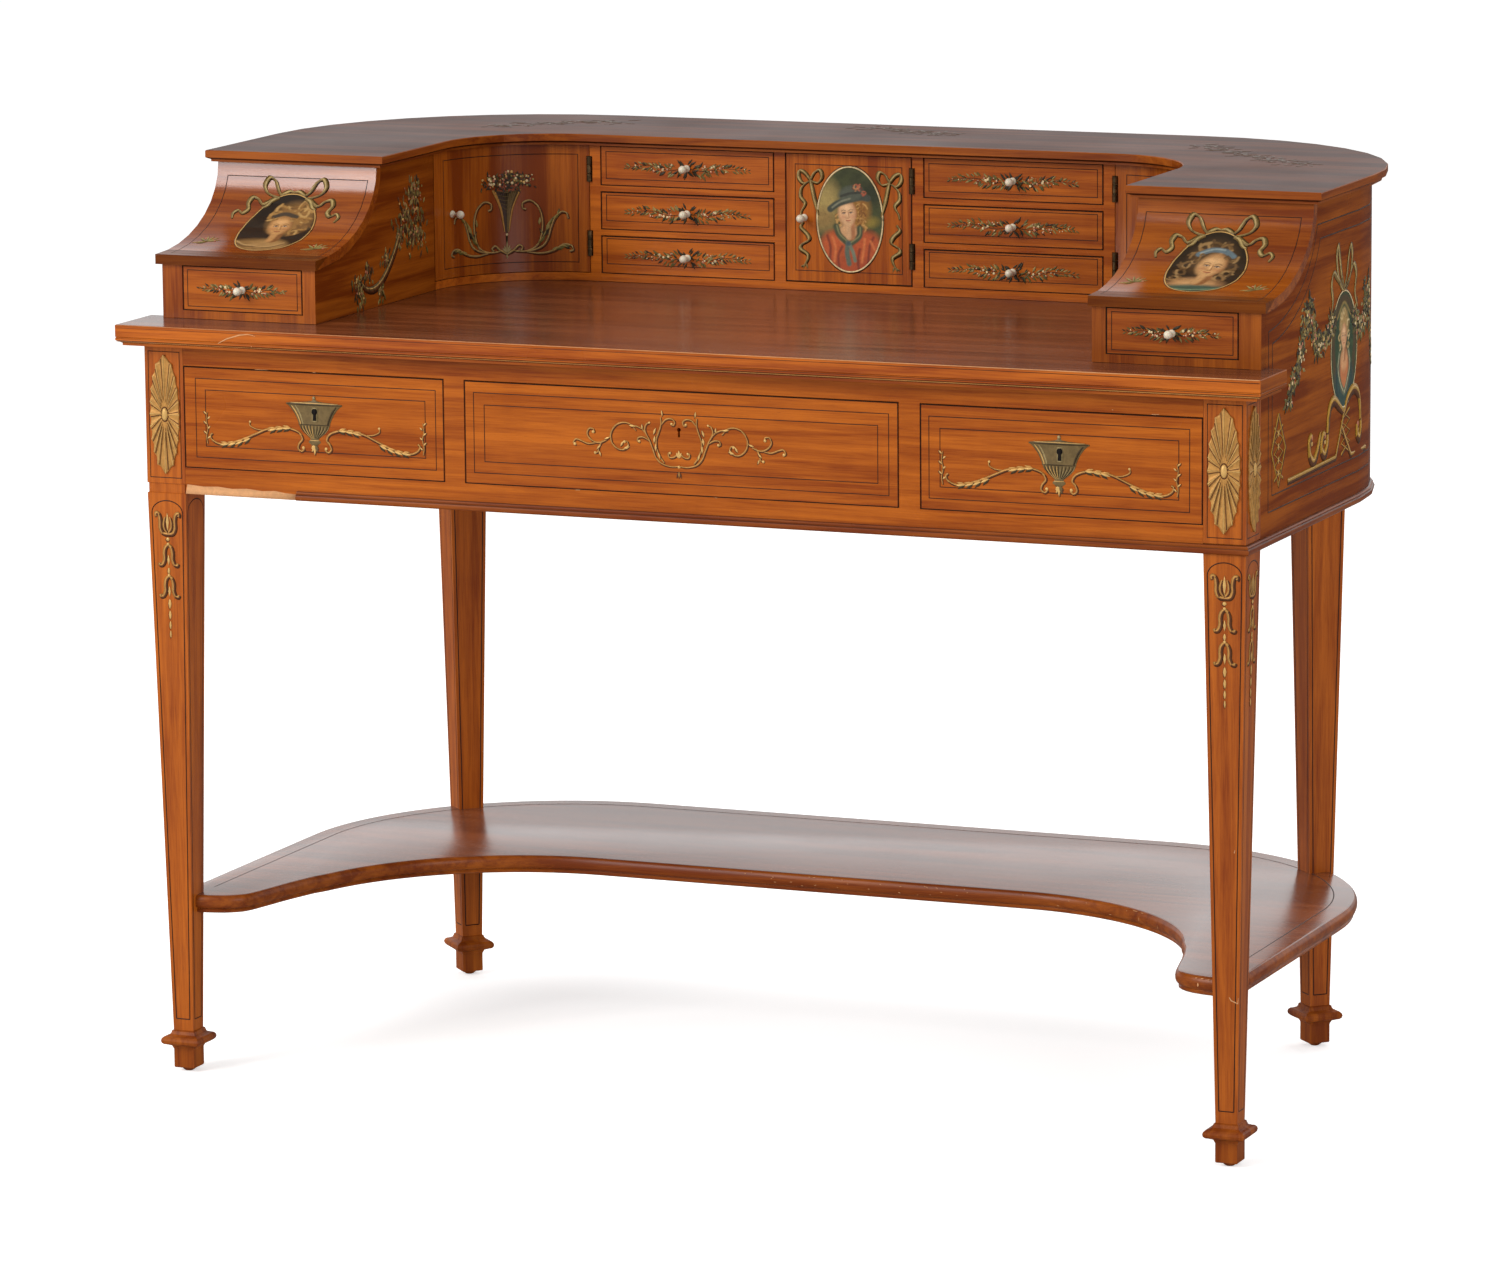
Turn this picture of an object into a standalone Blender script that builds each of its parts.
"""Carlton House writing desk, in metres, +Z up.

A D-shaped frieze stands on four square tapered legs with spade feet and an undershelf. On the worktop sits a
U-shaped gallery: a small drawer under a cove in each wing, a concave quarter-round cupboard door in each rear
corner, two stacks of three drawers and a flat cupboard door between them.
The origin is on the floor, under the middle of the desk. +X is the sitter's right and -Y faces the sitter.
"""

import math

import bmesh
import bpy
from mathutils import Matrix, Vector

# Driving dimensions
WIDTH = 1.220
DEPTH = 0.646
WORKTOP_HEIGHT = 0.7795
GALLERY_HEIGHT = 0.1565
FRIEZE_HEIGHT = 0.1516

# Clearances
FIT = 0.0003
RUNNING_GAP = 0.0008
OVERRUN = 0.003

# Shading and rounding
SMOOTH = math.radians(35)
SMOOTH_ROUND_ONLY = math.radians(25)
FLAT_WITHIN = math.radians(1)
CUT_DECIMALS = 7

# Carcase
PANEL_THICKNESS = 0.012
CORNER_RADIUS = 0.262
WORKTOP_SIDE_OVERHANG = 0.0215
WORKTOP_FRONT_OVERHANG = 0.022
WORKTOP_THICKNESS = 0.0215
WORKTOP_RETURN_LENGTH = 0.0137
WORKTOP_FASCIA_HEIGHT = 0.0128
WORKTOP_BEAD_HEIGHT = 0.0038
WORKTOP_UNDERCUT = 0.0055
EDGE_ARRIS = 0.0008
UNDERCUT_TURN_SHARE = 0.3
CORNER_STEPS = 9

# Base moulding
MOULDING_HEIGHT = 0.0093
MOULDING_PROJECTION = 0.0042
MOULDING_LOST_LENGTH = 0.126

# Legs
LEG_TOP_SIDE = 0.0432
LEG_FOOT_SIDE = 0.0225
LEG_FOOT_HEIGHT = 0.0400
LEG_BAND_DEPTH = 0.0012
LEG_BAND_BEVEL = 0.0006
REAR_LEG_FROM_SIDE = 0.1037
REAR_LEG_FROM_BACK = 0.074
BLOCK_SIDE = 0.0227
BLOCK_HEIGHT = 0.0195
BLOCK_CHAMFER = 0.0009
COLLAR_SIDE = 0.0428
COLLAR_THICKNESS = 0.0094
COLLAR_HEIGHT = 0.0248
COLLAR_STEPS = 5
CAVETTO_STEPS = 2
NECK_LIP = 0.0015
NECK_LIP_HEIGHT = 0.0014
GLIDE_HEIGHT = 0.004
GLIDE_RADIUS = 0.0068
GLIDE_FLAT_RADIUS = 0.0042
GLIDE_SIDES = 12

# Undershelf
SHELF_HEIGHT = 0.186
SHELF_THICKNESS = 0.019
SHELF_FILLET_HEIGHT = 0.0044
SHELF_FILLET_INSET = 0.0035
SHELF_SIDE_INSET = 0.0105
SHELF_BACK_PROJECTION = 0.0145
SHELF_FRONT_INSET = 0.0165
SHELF_CORNER_RADIUS = 0.2795
SHELF_NOSE_RADIUS = 0.0225
KNEE_FROM_SIDE = 0.0883
KNEE_DEPTH = 0.327
KNEE_RADIUS = 0.2425
KNEE_SPLAY = math.radians(13.9)
KNEE_STEPS = 9
NOSE_STEPS = 4

# Frieze
DRAWER_FLOOR_HEIGHT = 0.0271
FRIEZE_TOP_RAIL = 0.0202
FRIEZE_MUNTIN = 0.0217
FRIEZE_CENTRE_OPENING = 0.4654
FRIEZE_FRONT_THICKNESS = 0.020
FRIEZE_BOX_FROM_BACK = 0.1957
FRIEZE_BOX_WALL = 0.009
FRIEZE_BOX_DROP = 0.012
FRIEZE_BOX_FLOOR = 0.005
BEARER_WIDTH = 0.034
BEARER_THICKNESS = 0.016
BEARER_RAIL_WIDTH = 0.025
BEARER_RAIL_SETBACK = 0.022
GUIDE_THICKNESS = 0.0116
LOCK_WIDTH = 0.050
LOCK_HEIGHT = 0.034
LOCK_THICKNESS = 0.009
KEYHOLE_RADIUS = 0.0021
KEYHOLE_SLOT_WIDTH = 0.0023
KEYHOLE_SLOT_LENGTH = 0.0075
KEYHOLE_SIDES = 8
KEYHOLE_RISE = 0.0135

# Gallery
GALLERY_FLOOR = 0.0085
SLAB_THICKNESS = 0.012
SLAB_FASCIA_HEIGHT = 0.0075
SLAB_UNDERCUT = 0.0045
SLAB_SIDE_OVERHANG = 0.016
SLAB_FRONT_OVERHANG = 0.009
SLAB_INNER_OVERHANG = 0.0137
WING_WIDTH = 0.1722
WING_OUTER_STILE = 0.0225
WING_STILE_THICKNESS = 0.012
WING_INNER_PANEL = 0.014
LEDGE_HEIGHT = 0.0550
LEDGE_THICKNESS = 0.0102
LEDGE_FRONT_OVERHANG = 0.0040
LEDGE_FLAT = 0.004
LEDGE_OUTER_OVERHANG = 0.0057
LEDGE_INNER_OVERHANG = 0.0028
COVE_DEPTH = 0.142
COVE_STEPS = 9
FACADE_FROM_BACK = 0.156
PARTITION_THICKNESS = 0.012
CENTRE_DOOR_WIDTH = 0.142
STACK_RAIL = 0.006
TOP_DRAWER_EXTRA = 0.0022
CORNER_DOOR_RADIUS = 0.1227
DOOR_THICKNESS = 0.012
DOOR_EDGE_BEVEL = math.radians(52)
DOOR_EDGE_GAP = 0.0012
DOOR_STEPS = 10
SMALL_FRONT_THICKNESS = 0.009
SMALL_BOX_WALL = 0.0055
SMALL_BOX_FLOOR = 0.003
SMALL_BOX_DROP = 0.005
STACK_BOX_BACK_GAP = 0.0147
WING_BOX_BACK_GAP = 0.0016

# Knobs: the turned profile is in shares of the ball's radius
KNOB_RADIUS = 0.0044
KNOB_SIDES = 12
KNOB_PROFILE_SHARES = (
    (0.86, 0.00),
    (0.90, 0.20),
    (0.78, 0.38),
    (0.44, 0.62),
    (0.36, 1.10),
    (0.46, 1.62),
    (0.82, 1.98),
    (1.00, 2.50),
    (0.90, 3.02),
    (0.56, 3.40),
    (0.20, 3.54),
)
DOOR_KNOB_INSET = 0.0215
CURVED_KNOB_ANGLE = math.radians(15.5)

# Butt hinges
HINGE_LENGTH = 0.0265
HINGE_RADIUS = 0.0025
HINGE_PROUD = 0.0008
HINGE_LEAF_THICKNESS = 0.0009
HINGE_LEAF_DEPTH = 0.0100
HINGE_SIDES = 10
HINGE_LOWER_HEIGHT = 0.0315
HINGE_UPPER_DROP = 0.0257
FIXED_KNUCKLES_SHARES = ((0, 0.32), (0.68, 1))
MOVING_KNUCKLES_SHARES = ((0.34, 0.66),)

# Lines that the dimensions give
HEIGHT = WORKTOP_HEIGHT + GALLERY_HEIGHT
CARCASE_HALF = WIDTH / 2 - WORKTOP_SIDE_OVERHANG
FRONT_Y = -DEPTH / 2 + WORKTOP_FRONT_OVERHANG
BACK_Y = DEPTH / 2 - SLAB_SIDE_OVERHANG
POST_BACK_Y = FRONT_Y + LEG_TOP_SIDE
CORNER_X = CARCASE_HALF - CORNER_RADIUS
CORNER_Y = BACK_Y - CORNER_RADIUS
INNER_HALF = CARCASE_HALF - PANEL_THICKNESS
INNER_RADIUS = CORNER_RADIUS - PANEL_THICKNESS
WORKTOP_UNDERSIDE = WORKTOP_HEIGHT - WORKTOP_THICKNESS
CARCASE_BOTTOM = WORKTOP_UNDERSIDE - FRIEZE_HEIGHT
SLAB_UNDERSIDE = HEIGHT - SLAB_THICKNESS
MOULDING_TOP = CARCASE_BOTTOM + MOULDING_HEIGHT
FRIEZE_FLOOR = CARCASE_BOTTOM + DRAWER_FLOOR_HEIGHT
FRIEZE_CEILING = WORKTOP_UNDERSIDE - FRIEZE_TOP_RAIL
POST_INNER_X = CARCASE_HALF - LEG_TOP_SIDE
MUNTIN_INNER_X = FRIEZE_CENTRE_OPENING / 2
MUNTIN_OUTER_X = MUNTIN_INNER_X + FRIEZE_MUNTIN
WING_FRONT_Y = POST_BACK_Y + FIT
WING_INNER_X = CARCASE_HALF - WING_WIDTH
WING_BAY_INNER_X = WING_INNER_X + WING_INNER_PANEL
WING_BAY_OUTER_X = CARCASE_HALF - WING_OUTER_STILE
GALLERY_FLOOR_TOP = WORKTOP_HEIGHT + GALLERY_FLOOR
GALLERY_TOP = SLAB_UNDERSIDE - FIT
LEDGE_UNDERSIDE = WORKTOP_HEIGHT + LEDGE_HEIGHT
LEDGE_TOP = LEDGE_UNDERSIDE + LEDGE_THICKNESS
LEDGE_FRONT_Y = WING_FRONT_Y - LEDGE_FRONT_OVERHANG
COVE_FOOT_Y = LEDGE_FRONT_Y + LEDGE_FLAT
COVE_HEIGHT = GALLERY_TOP - LEDGE_TOP
FACADE_Y = BACK_Y - FACADE_FROM_BACK
CENTRE_OPENING_X = CENTRE_DOOR_WIDTH / 2
STACK_INNER_X = CENTRE_OPENING_X + PARTITION_THICKNESS
CURVED_HINGE_X = WING_INNER_X - CORNER_DOOR_RADIUS
PARTITION_OUTER_X = CURVED_HINGE_X - RUNNING_GAP
STACK_OUTER_X = PARTITION_OUTER_X - PARTITION_THICKNESS
DOOR_CENTRE_Y = FACADE_Y - CORNER_DOOR_RADIUS
WING_END_Y = DOOR_CENTRE_Y - DOOR_EDGE_GAP
DOOR_BOTTOM = GALLERY_FLOOR_TOP + RUNNING_GAP
DOOR_TOP = GALLERY_TOP - RUNNING_GAP
HINGE_Y = FACADE_Y - HINGE_PROUD
GALLERY_BACK_Y = BACK_Y - PANEL_THICKNESS - FIT
FRIEZE_BOX_BACK_Y = GALLERY_BACK_Y - FRIEZE_BOX_FROM_BACK
STACK_BOX_BACK_Y = GALLERY_BACK_Y - STACK_BOX_BACK_GAP
WING_BOX_BACK_Y = WING_END_Y - PANEL_THICKNESS - WING_BOX_BACK_GAP
REAR_LEG_X = CARCASE_HALF - REAR_LEG_FROM_SIDE
REAR_LEG_Y = BACK_Y - REAR_LEG_FROM_BACK
TAPER_FOOT_Z = GLIDE_HEIGHT + LEG_FOOT_HEIGHT

# Colour, roughness and metallic value of each finish
FINISHES = {
    "satinwood": ((0.47, 0.16, 0.045), 0.32, 0.0),
    "mahogany_top": ((0.20, 0.075, 0.04), 0.26, 0.0),
    "mahogany": ((0.33, 0.10, 0.035), 0.34, 0.0),
    "drawer_lining": ((0.45, 0.27, 0.13), 0.60, 0.0),
    "bone": ((0.84, 0.79, 0.66), 0.35, 0.0),
    "brass": ((0.26, 0.18, 0.08), 0.42, 0.9),
}


def material(finish):
    """The Principled material of a finish, made once."""
    found = bpy.data.materials.get(finish)
    if found:
        return found
    colour, roughness, metallic = FINISHES[finish]
    made = bpy.data.materials.new(finish)
    made.use_nodes = True
    shader = made.node_tree.nodes["Principled BSDF"]
    shader.inputs["Base Color"].default_value = (*colour, 1)
    shader.inputs["Roughness"].default_value = roughness
    shader.inputs["Metallic"].default_value = metallic
    made.diffuse_color = (*colour, 1)
    return made


def finish_object(name, mesh_data, finish, smooth_angle=None):
    """Turns a bmesh into a named object with one finish, its faces pointing out."""
    bmesh.ops.recalc_face_normals(mesh_data, faces=mesh_data.faces)
    mesh = bpy.data.meshes.new(name)
    mesh_data.to_mesh(mesh)
    mesh_data.free()
    mesh.materials.append(material(finish))
    if smooth_angle:
        mesh.shade_smooth()
        mesh.set_sharp_from_angle(angle=smooth_angle)
    made = bpy.data.objects.new(name, mesh)
    bpy.context.scene.collection.objects.link(made)
    return made


def lofted(name, rings, finish, smooth_angle=None):
    """A closed solid through rings of as many points each, capped at both ends."""
    made = bmesh.new()
    rows = [[made.verts.new(point) for point in ring] for ring in rings]
    for low, high in zip(rows, rows[1:]):
        for here in range(len(low)):
            there = (here + 1) % len(low)
            made.faces.new((low[here], low[there], high[there], high[here]))
    made.faces.new(rows[0])
    made.faces.new(rows[-1])
    return finish_object(name, made, finish, smooth_angle)


def glued_boards(name, boards, finish):
    """Boards given as ((x, x), (y, y), (z, z)), glued up into one solid where they meet."""
    cuts = [sorted({round(end, CUT_DECIMALS) for board in boards for end in board[axis]}) for axis in range(3)]
    cells = set()
    for board in boards:
        spans = []
        for axis in range(3):
            low, high = (cuts[axis].index(round(end, CUT_DECIMALS)) for end in sorted(board[axis]))
            spans.append(range(low, high))
        cells.update((i, j, k) for i in spans[0] for j in spans[1] for k in spans[2])
    made = bmesh.new()
    corners = {}

    def corner(i, j, k):
        if (i, j, k) not in corners:
            corners[i, j, k] = made.verts.new((cuts[0][i], cuts[1][j], cuts[2][k]))
        return corners[i, j, k]

    for i, j, k in cells:
        for axis in range(3):
            for side in (0, 1):
                beside = [i, j, k]
                beside[axis] += 1 if side else -1
                if tuple(beside) in cells:
                    continue
                loop = []
                for a, b in ((0, 0), (1, 0), (1, 1), (0, 1)):
                    at = [i, j, k]
                    at[axis] += side
                    at[(axis + 1) % 3] += a
                    at[(axis + 2) % 3] += b
                    loop.append(corner(*at))
                made.faces.new(loop)
    bmesh.ops.dissolve_limit(made, angle_limit=FLAT_WITHIN, verts=made.verts, edges=made.edges)
    return finish_object(name, made, finish)


def turned(name, profile, foot, axis, sides, finish):
    """A turned solid: profile rows of (radius, distance along the axis) from the foot."""
    along = Vector(axis).normalized()
    across = along.orthogonal().normalized()
    round_about = along.cross(across)
    rings = []
    for radius, distance in profile:
        middle = Vector(foot) + along * distance
        turns = (2 * math.pi * step / sides for step in range(sides))
        rings.append([middle + (across * math.cos(t) + round_about * math.sin(t)) * radius for t in turns])
    return lofted(name, rings, finish, SMOOTH)


def moulded(name, outline, section, finish, smooth_angle=None):
    """A board with a moulded edge: outline points (x, y, out x, out y), section rows (out, z)."""
    rings = [[(x + out * ox, y + out * oy, z) for x, y, ox, oy in outline] for out, z in section]
    return lofted(name, rings, finish, smooth_angle)


def boolean(target, tool, operation):
    """Joins a tool to a target, or cuts it out, and hides the tool as a guide."""
    modifier = target.modifiers.new(tool.name, "BOOLEAN")
    modifier.operation = operation
    modifier.solver = "EXACT"
    modifier.object = tool
    tool.hide_render = True
    tool.display_type = "WIRE"


def arc(centre, radius, start, end, steps, outward=1):
    """Points along an arc with their outward directions, both ends included."""
    points = []
    for step in range(steps + 1):
        turn = start + (end - start) * step / steps
        cosine, sine = math.cos(turn), math.sin(turn)
        points.append(
            (centre[0] + radius * cosine, centre[1] + radius * sine, outward * cosine, outward * sine)
        )
    return points


def mirrored(half):
    """A whole outline from its right half, which runs from the middle line round to the middle line."""
    left = [(-x, y, -ox, oy) for x, y, ox, oy in reversed(half) if x > FIT]
    return half + left


def curve_between(start, end, steps, hollow):
    """Quarter-round rows from start to end, hollow or bellied, without the start."""
    rows = []
    for step in range(1, steps + 1):
        turn = math.pi / 2 * step / steps
        slow, fast = 1 - math.cos(turn), math.sin(turn)
        across, up = (slow, fast) if hollow else (fast, slow)
        rows.append((start[0] + (end[0] - start[0]) * across, start[1] + (end[1] - start[1]) * up))
    return rows


# Legs and undershelf


def leg_side_at(height):
    """The tapered leg's side at a height."""
    share = (height - TAPER_FOOT_Z) / (CARCASE_BOTTOM - TAPER_FOOT_Z)
    return LEG_FOOT_SIDE + (LEG_TOP_SIDE - LEG_FOOT_SIDE) * share


def spade_foot_rows():
    """Rows of (half side, height) from the block's sole up to the start of the taper."""
    block = BLOCK_SIDE / 2
    collar_low = GLIDE_HEIGHT + COLLAR_HEIGHT
    collar_high = collar_low + COLLAR_THICKNESS
    roll = COLLAR_THICKNESS / 2
    roll_centre = COLLAR_SIDE / 2 - roll
    neck = LEG_FOOT_SIDE / 2 + NECK_LIP
    lip_low = TAPER_FOOT_Z - NECK_LIP_HEIGHT
    rows = [
        (block - BLOCK_CHAMFER, GLIDE_HEIGHT),
        (block, GLIDE_HEIGHT + BLOCK_CHAMFER),
        (block, GLIDE_HEIGHT + BLOCK_HEIGHT),
    ]
    rows += curve_between(rows[-1], (roll_centre, collar_low), CAVETTO_STEPS, True)
    for step in range(1, COLLAR_STEPS + 1):
        turn = math.pi * step / (COLLAR_STEPS + 1)
        rows.append((roll_centre + roll * math.sin(turn), collar_low + roll * (1 - math.cos(turn))))
    rows.append((roll_centre, collar_high))
    rows += curve_between(rows[-1], (neck, lip_low), CAVETTO_STEPS, False)
    rows.append((neck, TAPER_FOOT_Z - NECK_LIP_HEIGHT / 2))
    rows.append((LEG_FOOT_SIDE / 2, TAPER_FOOT_Z))
    return rows


def leg(name, centre, turn, rows):
    """A square leg through its rows, turned about its own middle."""
    spin = Matrix.Rotation(turn, 3, "Z")
    rings = []
    for half, height in rows:
        corners = ((-half, -half), (half, -half), (half, half), (-half, half))
        rings.append([Vector((*centre, 0)) + spin @ Vector((x, y, height)) for x, y in corners])
    return lofted(name, rings, "satinwood")


def leg_centres():
    """Name, middle and turn of each leg."""
    front_x = CARCASE_HALF - LEG_TOP_SIDE / 2
    front_y = FRONT_Y + LEG_TOP_SIDE / 2
    turn = math.pi / 4
    return (
        ("leg_front_left", (-front_x, front_y), 0),
        ("leg_front_right", (front_x, front_y), 0),
        ("leg_rear_left", (-REAR_LEG_X, REAR_LEG_Y), turn),
        ("leg_rear_right", (REAR_LEG_X, REAR_LEG_Y), turn),
    )


def build_legs():
    """Four legs on domed glides: the front pair runs on as the frieze's corner posts."""
    half = LEG_TOP_SIDE / 2
    band = half - LEG_BAND_DEPTH
    spade = spade_foot_rows()
    post = [
        (half, CARCASE_BOTTOM - LEG_BAND_BEVEL),
        (band, CARCASE_BOTTOM),
        (band, MOULDING_TOP),
        (half, MOULDING_TOP + LEG_BAND_BEVEL),
        (half, WORKTOP_UNDERSIDE - FIT),
    ]
    plain = [(half, CARCASE_BOTTOM - FIT)]
    glide = [(GLIDE_FLAT_RADIUS, 0), (GLIDE_RADIUS, GLIDE_HEIGHT / 2), (GLIDE_RADIUS, GLIDE_HEIGHT + OVERRUN)]
    for name, centre, turn in leg_centres():
        made = leg(name, centre, turn, spade + (plain if turn else post))
        foot = (*centre, 0)
        boolean(made, turned(f"{name}_glide", glide, foot, (0, 0, 1), GLIDE_SIDES, "satinwood"), "UNION")


def shelf_outline():
    """The undershelf's outline: D-shaped behind, hollowed for the knees, notched round the front legs."""
    top_side = leg_side_at(SHELF_HEIGHT)
    leg_x = CARCASE_HALF - LEG_TOP_SIDE / 2
    leg_y = FRONT_Y + LEG_TOP_SIDE / 2
    notch_x = leg_x - top_side / 2 - FIT
    notch_y = leg_y + top_side / 2 + FIT
    side_x = CARCASE_HALF - SHELF_SIDE_INSET
    back_y = BACK_Y + SHELF_BACK_PROJECTION
    front_y = FRONT_Y + SHELF_FRONT_INSET
    knee_y = FRONT_Y + KNEE_DEPTH
    curve_y = knee_y - KNEE_RADIUS
    nose_y = front_y + SHELF_NOSE_RADIUS
    knee_x = CARCASE_HALF - KNEE_FROM_SIDE
    nose_x = knee_x + SHELF_NOSE_RADIUS * math.cos(KNEE_SPLAY)
    drop = curve_y + KNEE_RADIUS * math.sin(KNEE_SPLAY) - nose_y + SHELF_NOSE_RADIUS * math.sin(KNEE_SPLAY)
    curve_x = knee_x - drop * math.tan(KNEE_SPLAY) - KNEE_RADIUS * math.cos(KNEE_SPLAY)
    corner = (side_x - SHELF_CORNER_RADIUS, back_y - SHELF_CORNER_RADIUS)
    half = [(0, knee_y, 0, -1)]
    half += arc((curve_x, curve_y), KNEE_RADIUS, math.pi / 2, KNEE_SPLAY, KNEE_STEPS, -1)
    half += arc((nose_x, nose_y), SHELF_NOSE_RADIUS, math.pi + KNEE_SPLAY, 3 * math.pi / 2, NOSE_STEPS)
    half += [(notch_x, front_y, 0, -1), (notch_x, notch_y, 0, 0), (side_x, notch_y, 1, 0)]
    half += arc(corner, SHELF_CORNER_RADIUS, 0, math.pi / 2, CORNER_STEPS)
    half += [(0, back_y, 0, 1)]
    return mirrored(half)


def build_undershelf():
    """The undershelf, its rounded edge over a small fillet, with a square way for each rear leg."""
    bottom = SHELF_HEIGHT - SHELF_THICKNESS
    roll_low = bottom + SHELF_FILLET_HEIGHT
    roll = (SHELF_HEIGHT - roll_low) / 2
    section = [(-SHELF_FILLET_INSET - FIT, bottom), (-SHELF_FILLET_INSET, roll_low)]
    for step in range(1, COLLAR_STEPS):
        turn = math.pi * step / COLLAR_STEPS
        section.append((SHELF_FILLET_INSET * (math.sin(turn) - 1), roll_low + roll * (1 - math.cos(turn))))
    section.append((-SHELF_FILLET_INSET, SHELF_HEIGHT))
    shelf = moulded("undershelf", shelf_outline(), section, "mahogany", SMOOTH)
    half = leg_side_at(SHELF_HEIGHT) / 2 + FIT
    rows = [(half, bottom - OVERRUN), (half, SHELF_HEIGHT + OVERRUN)]
    for name, centre, turn in leg_centres():
        if turn:
            boolean(shelf, leg(f"way_for_{name}", centre, turn, rows), "DIFFERENCE")


# Carcase


def inner_wall_x(y):
    """Half the clear width between the carcase's walls at a depth."""
    if y <= CORNER_Y:
        return INNER_HALF - FIT
    facet = math.cos(math.pi / 4 / CORNER_STEPS)
    return CORNER_X + math.sqrt((INNER_RADIUS * facet - FIT) ** 2 - (y - CORNER_Y) ** 2)


def inner_wall_arc():
    """The clear line inside a rear corner, from the side's flat round to the back panel."""
    return arc((CORNER_X, CORNER_Y), INNER_RADIUS - FIT, 0, math.pi / 2, CORNER_STEPS)


def cove_curve(y_gap, z_gap):
    """Rows of (y, z) along the cove, from its foot to its top, moved back and down by the gaps."""
    rows = []
    for step in range(COVE_STEPS + 1):
        turn = math.pi / 2 * step / COVE_STEPS
        rows.append(
            (
                COVE_FOOT_Y + (COVE_DEPTH + y_gap) * math.sin(turn),
                LEDGE_TOP + COVE_HEIGHT - (COVE_HEIGHT + z_gap) * math.cos(turn),
            )
        )
    return rows


def edge_under_cove(front_y):
    """The top edge of a board that carries the cove, from its front upright back to the slab."""
    reach = LEDGE_THICKNESS + FIT
    behind = [row for row in cove_curve(reach, reach) if row[0] > front_y + FIT]
    return [(front_y, LEDGE_UNDERSIDE - FIT)] + behind


def side_panel(name, side):
    """A carcase side in one piece from base to slab: flat beside the drawers, then round the rear corner."""
    step_y = WING_FRONT_Y + WING_STILE_THICKNESS + FIT
    flat = [(CORNER_Y, CARCASE_BOTTOM), (WING_FRONT_Y, CARCASE_BOTTOM), (WING_FRONT_Y, WORKTOP_HEIGHT + FIT)]
    flat += [(step_y, WORKTOP_HEIGHT + FIT)] + edge_under_cove(step_y) + [(CORNER_Y, GALLERY_TOP)]
    made = bmesh.new()
    faces = []
    for x in (CARCASE_HALF, INNER_HALF):
        faces.append([made.verts.new((side * x, y, z)) for y, z in flat])
    outer, inner = faces
    made.faces.new(outer)
    made.faces.new(inner)
    for here in range(len(flat) - 1):
        made.faces.new((outer[here], outer[here + 1], inner[here + 1], inner[here]))
    last = (outer[0], inner[0], inner[-1], outer[-1])
    for step in range(1, CORNER_STEPS + 1):
        turn = math.pi / 2 * step / CORNER_STEPS
        section = []
        for radius, z in (
            (CORNER_RADIUS, CARCASE_BOTTOM),
            (INNER_RADIUS, CARCASE_BOTTOM),
            (INNER_RADIUS, GALLERY_TOP),
            (CORNER_RADIUS, GALLERY_TOP),
        ):
            x = CORNER_X + radius * math.cos(turn)
            section.append(made.verts.new((side * x, CORNER_Y + radius * math.sin(turn), z)))
        for here in range(4):
            there = (here + 1) % 4
            made.faces.new((last[here], last[there], section[there], section[here]))
        last = section
    made.faces.new(last)
    return finish_object(name, made, "satinwood", SMOOTH)


def build_carcase():
    """Side panels, back panel, the frieze's face frame and the bearers that the frieze drawers run on."""
    side_panel("side_panel_left", -1)
    side_panel("side_panel_right", 1)
    back_x = CORNER_X - FIT
    glued_boards(
        "back_panel",
        [((-back_x, back_x), (BACK_Y - PANEL_THICKNESS, BACK_Y), (CARCASE_BOTTOM, GALLERY_TOP))],
        "mahogany",
    )
    reach = POST_INNER_X - FIT
    deep = (FRONT_Y, POST_BACK_Y)
    top = WORKTOP_UNDERSIDE - FIT
    boards = [
        ((-reach, reach), deep, (CARCASE_BOTTOM, FRIEZE_FLOOR)),
        ((-reach, reach), deep, (FRIEZE_CEILING, top)),
    ]
    for side in (-1, 1):
        muntin = (side * MUNTIN_INNER_X, side * MUNTIN_OUTER_X)
        boards.append((muntin, deep, (FRIEZE_FLOOR, FRIEZE_CEILING)))
    glued_boards("frieze_frame", boards, "satinwood")
    build_bearers()


def build_bearers():
    """Runners under the drawers, guides between them, and the cross rail that ties them to the sides."""
    front = POST_BACK_Y + FIT
    rail_front = FRIEZE_BOX_BACK_Y + BEARER_RAIL_SETBACK
    rail_back = rail_front + BEARER_RAIL_WIDTH
    rail_x = inner_wall_x(rail_back)
    flat = (FRIEZE_FLOOR - BEARER_THICKNESS, FRIEZE_FLOOR)
    guide_x = (MUNTIN_INNER_X + MUNTIN_OUTER_X) / 2
    middle_half = FRIEZE_MUNTIN / 2 + BEARER_WIDTH / 2
    boards = [((-rail_x, rail_x), (rail_front, rail_back), flat)]
    for s in (-1, 1):
        boards.append(((s * (rail_x - BEARER_WIDTH), s * rail_x), (front, rail_front), flat))
        boards.append(((s * (guide_x - middle_half), s * (guide_x + middle_half)), (front, rail_front), flat))
        guide = (s * (guide_x - GUIDE_THICKNESS / 2), s * (guide_x + GUIDE_THICKNESS / 2))
        boards.append((guide, (front, rail_back), (FRIEZE_FLOOR, WORKTOP_UNDERSIDE - FIT)))
    glued_boards("drawer_bearers", boards, "drawer_lining")


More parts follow.
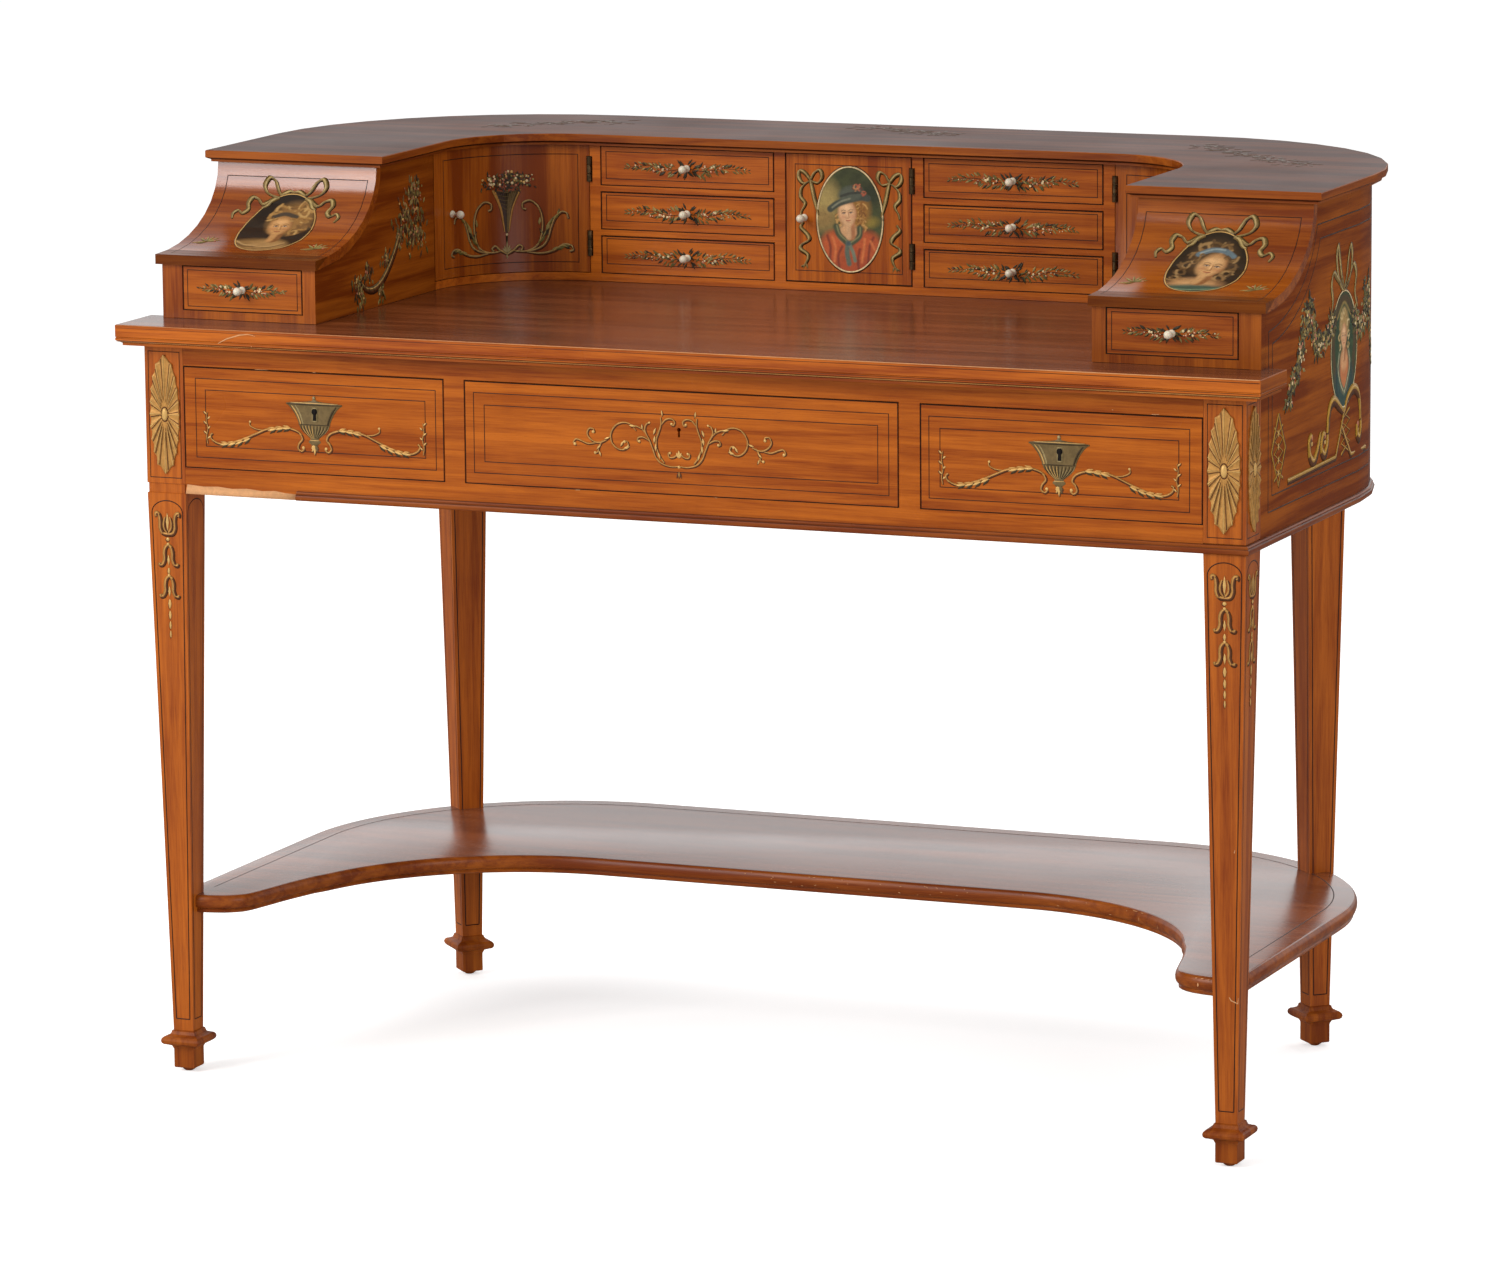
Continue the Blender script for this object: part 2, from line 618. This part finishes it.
def build_base_moulding():
    """The astragal round the foot of the frieze; the length at the front left is lost, as on the desk."""
    out_x = CARCASE_HALF + FIT
    front = FRONT_Y - FIT
    arc_radius = CORNER_RADIUS + FIT
    path = [(-POST_INNER_X + MOULDING_LOST_LENGTH, front, 0, -1)]
    path += [(out_x, front, 1, -1), (out_x, CORNER_Y, 1, 0)]
    path += arc((CORNER_X, CORNER_Y), arc_radius, 0, math.pi / 2, CORNER_STEPS)[1:]
    path += arc((-CORNER_X, CORNER_Y), arc_radius, math.pi / 2, math.pi, CORNER_STEPS)
    path += [(-out_x, POST_BACK_Y, -1, 0)]
    thick = MOULDING_PROJECTION
    high = MOULDING_HEIGHT
    section_shares = (
        (0.0, 0.0),
        (0.55, 0.0),
        (0.90, 0.15),
        (1.0, 0.36),
        (0.88, 0.56),
        (0.56, 0.66),
        (0.66, 0.80),
        (0.45, 0.94),
        (0.0, 1.0),
    )
    rings = []
    for x, y, ox, oy in path:
        rings.append(
            [
                (x + ox * thick * out, y + oy * thick * out, CARCASE_BOTTOM + high * rise)
                for out, rise in section_shares
            ]
        )
    lofted("base_moulding", rings, "mahogany", SMOOTH)


def build_worktop():
    """The worktop: moulded along the front and a short way round each corner, let in between the sides."""
    edge_x = WIDTH / 2
    edge_y = -DEPTH / 2
    return_y = WING_FRONT_Y + WORKTOP_RETURN_LENGTH
    slot_y = WING_FRONT_Y - FIT
    inner_x = INNER_HALF - FIT
    half = [
        (0, edge_y, 0, -1),
        (edge_x, edge_y, 1, -1),
        (edge_x, return_y, 1, 0),
        (CARCASE_HALF + FIT, return_y, 0, 0),
        (CARCASE_HALF + FIT, slot_y, 0, 0),
        (inner_x, slot_y, 0, 0),
    ]
    half += [(x, y, 0, 0) for x, y, _, _ in inner_wall_arc()]
    half += [(0, GALLERY_BACK_Y, 0, 0)]
    fascia_low = WORKTOP_HEIGHT - WORKTOP_FASCIA_HEIGHT
    bead_low = fascia_low - WORKTOP_BEAD_HEIGHT
    section = [
        (-WORKTOP_UNDERCUT, WORKTOP_UNDERSIDE),
        (-WORKTOP_UNDERCUT, (WORKTOP_UNDERSIDE + bead_low) / 2),
        (-WORKTOP_UNDERCUT * UNDERCUT_TURN_SHARE, bead_low - EDGE_ARRIS / 2),
        (0, bead_low + EDGE_ARRIS),
        (0, fascia_low - EDGE_ARRIS),
        (-EDGE_ARRIS, fascia_low),
        (0, fascia_low + EDGE_ARRIS / 2),
        (0, WORKTOP_HEIGHT - EDGE_ARRIS),
        (-EDGE_ARRIS, WORKTOP_HEIGHT),
    ]
    moulded("worktop", mirrored(half), section, "mahogany_top")


# Drawers


def moving_body(name, place):
    """An empty on a joint's axis, to which the moving pieces are parented."""
    made = bpy.data.objects.new(name, None)
    made.location = place
    bpy.context.scene.collection.objects.link(made)
    return made


def carry(body, pieces):
    """Parents pieces to a body, each kept where it is."""
    for piece in pieces:
        piece.parent = body
        piece.matrix_parent_inverse = Matrix.Translation(-body.location)


def drawer_box(name, span_x, span_y, span_z, wall, floor):
    """Two sides, a back and a floor behind a drawer front."""
    (x0, x1), (y0, y1), (z0, z1) = span_x, span_y, span_z
    boards = [
        (span_x, span_y, (z0, z0 + floor)),
        ((x0, x0 + wall), span_y, span_z),
        ((x1 - wall, x1), span_y, span_z),
        (span_x, (y1 - wall, y1), (z0, z1)),
    ]
    return glued_boards(name, boards, "drawer_lining")


def keyhole_outline():
    """A round hole over a slot, as (x, z) points about the round's middle."""
    start = math.asin(KEYHOLE_SLOT_WIDTH / 2 / KEYHOLE_RADIUS)
    points = [(KEYHOLE_SLOT_WIDTH / 2, -KEYHOLE_SLOT_LENGTH)]
    for step in range(KEYHOLE_SIDES + 1):
        turn = -math.pi / 2 + start + (2 * math.pi - 2 * start) * step / KEYHOLE_SIDES
        points.append((KEYHOLE_RADIUS * math.cos(turn), KEYHOLE_RADIUS * math.sin(turn)))
    points.append((-KEYHOLE_SLOT_WIDTH / 2, -KEYHOLE_SLOT_LENGTH))
    return points


def frieze_drawer(name, low_x, high_x):
    """A frieze drawer: front with its lock case and keyhole, and the box behind it."""
    span_x = (low_x + RUNNING_GAP, high_x - RUNNING_GAP)
    span_z = (FRIEZE_FLOOR + FIT, FRIEZE_CEILING - RUNNING_GAP)
    front_back = FRONT_Y + FRIEZE_FRONT_THICKNESS
    middle = (low_x + high_x) / 2
    lock_z = (span_z[0] + span_z[1]) / 2 + KEYHOLE_RISE
    lock_case = (
        (middle - LOCK_WIDTH / 2, middle + LOCK_WIDTH / 2),
        (front_back, front_back + LOCK_THICKNESS),
        (lock_z - LOCK_HEIGHT / 2, lock_z + LOCK_HEIGHT / 2),
    )
    front = glued_boards(f"{name}_front", [(span_x, (FRONT_Y, front_back), span_z), lock_case], "satinwood")
    rings = []
    for y in (FRONT_Y - OVERRUN, front_back + LOCK_THICKNESS / 2):
        rings.append([(middle + x, y, lock_z + z) for x, z in keyhole_outline()])
    boolean(front, lofted(f"{name}_keyhole", rings, "satinwood"), "DIFFERENCE")
    box = drawer_box(
        f"{name}_box",
        span_x,
        (front_back + FIT, FRIEZE_BOX_BACK_Y),
        (span_z[0], span_z[1] - FRIEZE_BOX_DROP),
        FRIEZE_BOX_WALL,
        FRIEZE_BOX_FLOOR,
    )
    carry(moving_body(name, (middle, FRONT_Y, lock_z)), (front, box))


def knob(name, foot, axis):
    """A turned bone knob standing on its foot."""
    profile = [(radius * KNOB_RADIUS, rise * KNOB_RADIUS) for radius, rise in KNOB_PROFILE_SHARES]
    return turned(name, profile, foot, axis, KNOB_SIDES, "bone")


def small_drawer(name, bay, levels, front_y, back_y):
    """A gallery drawer in its bay and levels: front, box and a bone knob in the middle."""
    low_x, high_x = bay
    span_x = (low_x + RUNNING_GAP, high_x - RUNNING_GAP)
    span_z = (levels[0] + FIT, levels[1] - RUNNING_GAP)
    front_back = front_y + SMALL_FRONT_THICKNESS
    middle = Vector(((low_x + high_x) / 2, front_y, (span_z[0] + span_z[1]) / 2))
    front = glued_boards(f"{name}_front", [(span_x, (front_y, front_back), span_z)], "satinwood")
    box = drawer_box(
        f"{name}_box",
        span_x,
        (front_back + FIT, back_y),
        (span_z[0], span_z[1] - SMALL_BOX_DROP),
        SMALL_BOX_WALL,
        SMALL_BOX_FLOOR,
    )
    pull = knob(f"{name}_knob", middle - Vector((0, FIT, 0)), (0, -1, 0))
    carry(moving_body(name, middle), (front, box, pull))


def stack_levels():
    """The low and high edges of the three drawers in a stack, lowest first."""
    lowest = GALLERY_FLOOR_TOP
    height = (GALLERY_TOP - lowest - 2 * STACK_RAIL - TOP_DRAWER_EXTRA) / 3
    pitch = height + STACK_RAIL
    levels = [(lowest + row * pitch, lowest + row * pitch + height) for row in range(2)]
    return levels + [(lowest + 2 * pitch, GALLERY_TOP)]


def build_drawers():
    """Three frieze drawers, a drawer in each wing and a stack of three on each side of the middle door."""
    frieze_drawer("frieze_drawer_left", -POST_INNER_X, -MUNTIN_OUTER_X)
    frieze_drawer("frieze_drawer_centre", -MUNTIN_INNER_X, MUNTIN_INNER_X)
    frieze_drawer("frieze_drawer_right", MUNTIN_OUTER_X, POST_INNER_X)
    for side_name, side in (("left", -1), ("right", 1)):
        bay = sorted((side * WING_BAY_INNER_X, side * WING_BAY_OUTER_X))
        levels = (GALLERY_FLOOR_TOP, LEDGE_UNDERSIDE)
        small_drawer(f"wing_drawer_{side_name}", bay, levels, WING_FRONT_Y, WING_BOX_BACK_Y)
        bay = sorted((side * STACK_INNER_X, side * STACK_OUTER_X))
        for row_name, levels in zip(("low", "middle", "top"), stack_levels()):
            name = f"stack_drawer_{side_name}_{row_name}"
            small_drawer(name, bay, levels, FACADE_Y, STACK_BOX_BACK_Y)


# Gallery


def build_gallery_top():
    """The U-shaped gallery slab with its moulded edge inside and out."""
    outer_x = CARCASE_HALF + SLAB_SIDE_OVERHANG
    inner_x = WING_INNER_X - SLAB_INNER_OVERHANG
    front_y = COVE_FOOT_Y + COVE_DEPTH - SLAB_FRONT_OVERHANG
    outer_radius = CORNER_RADIUS + SLAB_SIDE_OVERHANG
    inner_radius = CORNER_DOOR_RADIUS - SLAB_INNER_OVERHANG
    inner_centre = (CURVED_HINGE_X, DOOR_CENTRE_Y)
    half = [(0, FACADE_Y - SLAB_INNER_OVERHANG, 0, -1)]
    half += arc(inner_centre, inner_radius, math.pi / 2, 0, DOOR_STEPS, -1)
    half += [(inner_x, front_y, -1, -1), (outer_x, front_y, 1, -1)]
    half += arc((CORNER_X, CORNER_Y), outer_radius, 0, math.pi / 2, CORNER_STEPS)
    half += [(0, BACK_Y + SLAB_SIDE_OVERHANG, 0, 1)]
    fascia_low = HEIGHT - SLAB_FASCIA_HEIGHT
    section = [
        (-SLAB_UNDERCUT, SLAB_UNDERSIDE),
        (-SLAB_UNDERCUT, (SLAB_UNDERSIDE + fascia_low) / 2),
        (-SLAB_UNDERCUT * UNDERCUT_TURN_SHARE, fascia_low - EDGE_ARRIS),
        (0, fascia_low),
        (0, HEIGHT - EDGE_ARRIS),
        (-EDGE_ARRIS, HEIGHT),
    ]
    moulded("gallery_top", mirrored(half), section, "mahogany_top", SMOOTH_ROUND_ONLY)


def cove(name, side):
    """A wing's cove board, sweeping down from the slab into the ledge over the wing drawer."""
    ends = (WING_INNER_X - LEDGE_INNER_OVERHANG, CARCASE_HALF + LEDGE_OUTER_OVERHANG)
    outline = [(LEDGE_FRONT_Y, LEDGE_UNDERSIDE), (LEDGE_FRONT_Y, LEDGE_TOP)] + cove_curve(0, 0)
    outline += list(reversed(cove_curve(LEDGE_THICKNESS, LEDGE_THICKNESS)))
    rings = [[(side * x, y, z) for y, z in outline] for x in ends]
    lofted(name, rings, "satinwood", SMOOTH)


def wing_case(name, side):
    """A wing's case: inner side panel under the cove, outer stile, floor, and the board behind the drawer."""
    low = WORKTOP_HEIGHT + FIT
    bevel = WING_INNER_PANEL * math.tan(DOOR_EDGE_BEVEL)
    rings = []
    for x, rear in ((WING_INNER_X, WING_END_Y), (WING_BAY_INNER_X, WING_END_Y + bevel)):
        outline = [(WING_FRONT_Y, low)] + edge_under_cove(WING_FRONT_Y) + [(rear, GALLERY_TOP), (rear, low)]
        rings.append([(side * x, y, z) for y, z in outline])
    case = lofted(name, rings, "satinwood")
    inside_x = WING_INNER_X + WING_INNER_PANEL / 2
    wall_x = INNER_HALF - FIT
    boards = [
        ((side * inside_x, side * wall_x), (WING_FRONT_Y, WING_END_Y), (low, GALLERY_FLOOR_TOP)),
        ((side * inside_x, side * wall_x), (WING_END_Y - PANEL_THICKNESS, WING_END_Y), (low, GALLERY_TOP)),
        (
            (side * WING_BAY_OUTER_X, side * CARCASE_HALF),
            (WING_FRONT_Y, WING_FRONT_Y + WING_STILE_THICKNESS),
            (low, LEDGE_UNDERSIDE - FIT),
        ),
    ]
    boolean(case, glued_boards(f"{name}_boards", boards, "satinwood"), "UNION")


def gallery_floor_outline():
    """The gallery floor behind the drawer fronts and doors, whose front edge is the bottom rail."""
    edge_y = WING_END_Y + FIT
    bevel = WING_INNER_PANEL * math.tan(DOOR_EDGE_BEVEL)
    half = [(0, FACADE_Y)]
    centre = (CURVED_HINGE_X, DOOR_CENTRE_Y)
    half += [(x, y) for x, y, _, _ in arc(centre, CORNER_DOOR_RADIUS, math.pi / 2, 0, DOOR_STEPS)]
    half += [(WING_BAY_INNER_X + FIT, edge_y + bevel + FIT), (WING_BAY_INNER_X + FIT, edge_y)]
    half += [(INNER_HALF - FIT, edge_y)] + [(x, y) for x, y, _, _ in inner_wall_arc()]
    half += [(0, GALLERY_BACK_Y)]
    return mirrored([(x, y, 0, 0) for x, y in half])


def hinge_places():
    """Each door's hinge line: name, pivot x, and the side of it on which the door lies."""
    return (
        ("corner_door_left", -CURVED_HINGE_X + RUNNING_GAP / 2, -1),
        ("centre_door", CENTRE_OPENING_X - RUNNING_GAP / 2, -1),
        ("corner_door_right", CURVED_HINGE_X - RUNNING_GAP / 2, 1),
    )


def hinge_heights():
    """The middle heights of a door's two hinges."""
    return (GALLERY_FLOOR_TOP + HINGE_LOWER_HEIGHT, GALLERY_TOP - HINGE_UPPER_DROP)


def hinge_leaf_bed(pivot_x, side):
    """The beds of both hinges' leaves in a door's edge."""
    edge = pivot_x + side * RUNNING_GAP / 2
    leaf_x = (pivot_x, edge + side * (HINGE_LEAF_THICKNESS + FIT))
    leaf_y = (FACADE_Y - OVERRUN, FACADE_Y + HINGE_LEAF_DEPTH + FIT)
    reach = HINGE_LENGTH / 2 + FIT
    boards = [(leaf_x, leaf_y, (height - reach, height + reach)) for height in hinge_heights()]
    return boards + knuckle_ways(pivot_x, side)


def knuckle_ways(pivot_x, side):
    """The space that both hinges' knuckles need on one side of the pivot."""
    clear = HINGE_RADIUS + RUNNING_GAP
    way_x = (pivot_x, pivot_x + side * clear)
    way_y = (FACADE_Y - OVERRUN, HINGE_Y + clear)
    reach = HINGE_LENGTH / 2 + FIT
    return [(way_x, way_y, (height - reach, height + reach)) for height in hinge_heights()]


def hinge_half(name, pivot_x, side, height, knuckles):
    """Half of a butt hinge: its leaf, with knuckles at the shares of its length given."""
    low = height - HINGE_LENGTH / 2
    face = pivot_x + side * RUNNING_GAP / 2
    leaf_x = (face, face + side * HINGE_LEAF_THICKNESS)
    leaf_start = HINGE_Y + HINGE_RADIUS + FIT * 2
    spans = [(low + first * HINGE_LENGTH, low + last * HINGE_LENGTH) for first, last in knuckles]
    boards = [(leaf_x, (leaf_start, FACADE_Y + HINGE_LEAF_DEPTH), (low, low + HINGE_LENGTH))]
    boards += [(leaf_x, (HINGE_Y, leaf_start), (start + FIT, end - FIT)) for start, end in spans]
    half = glued_boards(name, boards, "brass")
    for number, (start, end) in enumerate(spans):
        profile = [(HINGE_RADIUS, FIT / 2), (HINGE_RADIUS, end - start - FIT / 2)]
        foot = (pivot_x, HINGE_Y, start)
        roll = turned(f"{name}_knuckle_{number}", profile, foot, (0, 0, 1), HINGE_SIDES, "brass")
        boolean(half, roll, "UNION")
    return half


def build_gallery_frame():
    """The gallery's floor with its partitions and the rails between the stacked drawers."""
    low = WORKTOP_HEIGHT + FIT
    rings = [[(x, y, z) for x, y, _, _ in gallery_floor_outline()] for z in (low, GALLERY_FLOOR_TOP)]
    frame = lofted("gallery_frame", rings, "satinwood")
    deep = (FACADE_Y, GALLERY_BACK_Y)
    middle = (low + GALLERY_FLOOR_TOP) / 2
    boards = []
    for s in (-1, 1):
        boards.append(((s * CENTRE_OPENING_X, s * STACK_INNER_X), deep, (middle, GALLERY_TOP)))
        boards.append(((s * STACK_OUTER_X, s * PARTITION_OUTER_X), deep, (middle, GALLERY_TOP)))
        for _, high in stack_levels()[:2]:
            boards.append(((s * STACK_INNER_X, s * STACK_OUTER_X), deep, (high, high + STACK_RAIL)))
    boolean(frame, glued_boards("gallery_partitions", boards, "satinwood"), "UNION")
    for name, pivot_x, side in hinge_places():
        ways = glued_boards(f"{name}_knuckle_ways", knuckle_ways(pivot_x, -side), "brass")
        boolean(frame, ways, "DIFFERENCE")
        for place, height in zip(("low", "high"), hinge_heights()):
            fixed = hinge_half(f"{name}_fixed_{place}", pivot_x, -side, height, FIXED_KNUCKLES_SHARES)
            boolean(frame, fixed, "UNION")


def curved_door_solid(name, side):
    """A concave quarter-round door whose free edge is bevelled to swing clear of the wing."""
    centre_x = CURVED_HINGE_X
    outer_radius = CORNER_DOOR_RADIUS + DOOR_THICKNESS
    run = math.cos(DOOR_EDGE_BEVEL)
    rise = math.sin(DOOR_EDGE_BEVEL)
    half_chord = CORNER_DOOR_RADIUS * run
    reach = math.sqrt(half_chord**2 + outer_radius**2 - CORNER_DOOR_RADIUS**2) - half_chord
    back_start = math.atan2(reach * rise, CORNER_DOOR_RADIUS + reach * run)
    inside = arc((centre_x, DOOR_CENTRE_Y), CORNER_DOOR_RADIUS, 0, math.pi / 2, DOOR_STEPS)
    outside = arc((centre_x, DOOR_CENTRE_Y), outer_radius, math.pi / 2, back_start, DOOR_STEPS)
    outline = [(side * x, y) for x, y, _, _ in inside + outside]
    rings = [[(x, y, z) for x, y in outline] for z in (DOOR_BOTTOM, DOOR_TOP)]
    return lofted(name, rings, "satinwood", SMOOTH)


def centre_door_solid(name):
    """The flat door in the middle of the gallery."""
    reach = CENTRE_OPENING_X - RUNNING_GAP
    board = ((-reach, reach), (FACADE_Y, FACADE_Y + DOOR_THICKNESS), (DOOR_BOTTOM, DOOR_TOP))
    return glued_boards(name, [board], "satinwood")


def door_knob(name):
    """The knob of a door, on its free side."""
    height = (DOOR_BOTTOM + DOOR_TOP) / 2
    if name == "centre_door":
        foot = (-CENTRE_OPENING_X + DOOR_KNOB_INSET, FACADE_Y - FIT, height)
        return knob(f"{name}_knob", foot, (0, -1, 0))
    side = -1 if name.endswith("left") else 1
    out = Vector((side * math.cos(CURVED_KNOB_ANGLE), math.sin(CURVED_KNOB_ANGLE), 0))
    centre = Vector((side * CURVED_HINGE_X, DOOR_CENTRE_Y, height))
    facet = math.cos(math.pi / 4 / DOOR_STEPS)
    return knob(f"{name}_knob", centre + out * (CORNER_DOOR_RADIUS * facet - FIT), -out)


def build_doors():
    """The two curved corner doors and the flat middle door, each on two butt hinges."""
    for name, pivot_x, side in hinge_places():
        if name == "centre_door":
            door = centre_door_solid(f"{name}_panel")
        else:
            door = curved_door_solid(f"{name}_panel", side)
        beds = glued_boards(f"{name}_beds", hinge_leaf_bed(pivot_x, side), "brass")
        boolean(door, beds, "DIFFERENCE")
        pieces = [door, door_knob(name)]
        for place, height in zip(("low", "high"), hinge_heights()):
            pieces.append(hinge_half(f"{name}_hinge_{place}", pivot_x, side, height, MOVING_KNUCKLES_SHARES))
        carry(moving_body(name, (pivot_x, HINGE_Y, DOOR_BOTTOM)), pieces)


def build_gallery():
    """Slab, wings with their coves, and the frame behind the facade."""
    build_gallery_top()
    for side_name, side in (("left", -1), ("right", 1)):
        cove(f"cove_{side_name}", side)
        wing_case(f"wing_case_{side_name}", side)
    build_gallery_frame()


def main():
    for old in list(bpy.data.objects):
        bpy.data.objects.remove(old)
    build_legs()
    build_undershelf()
    build_carcase()
    build_base_moulding()
    build_worktop()
    build_gallery()
    build_drawers()
    build_doors()


main()
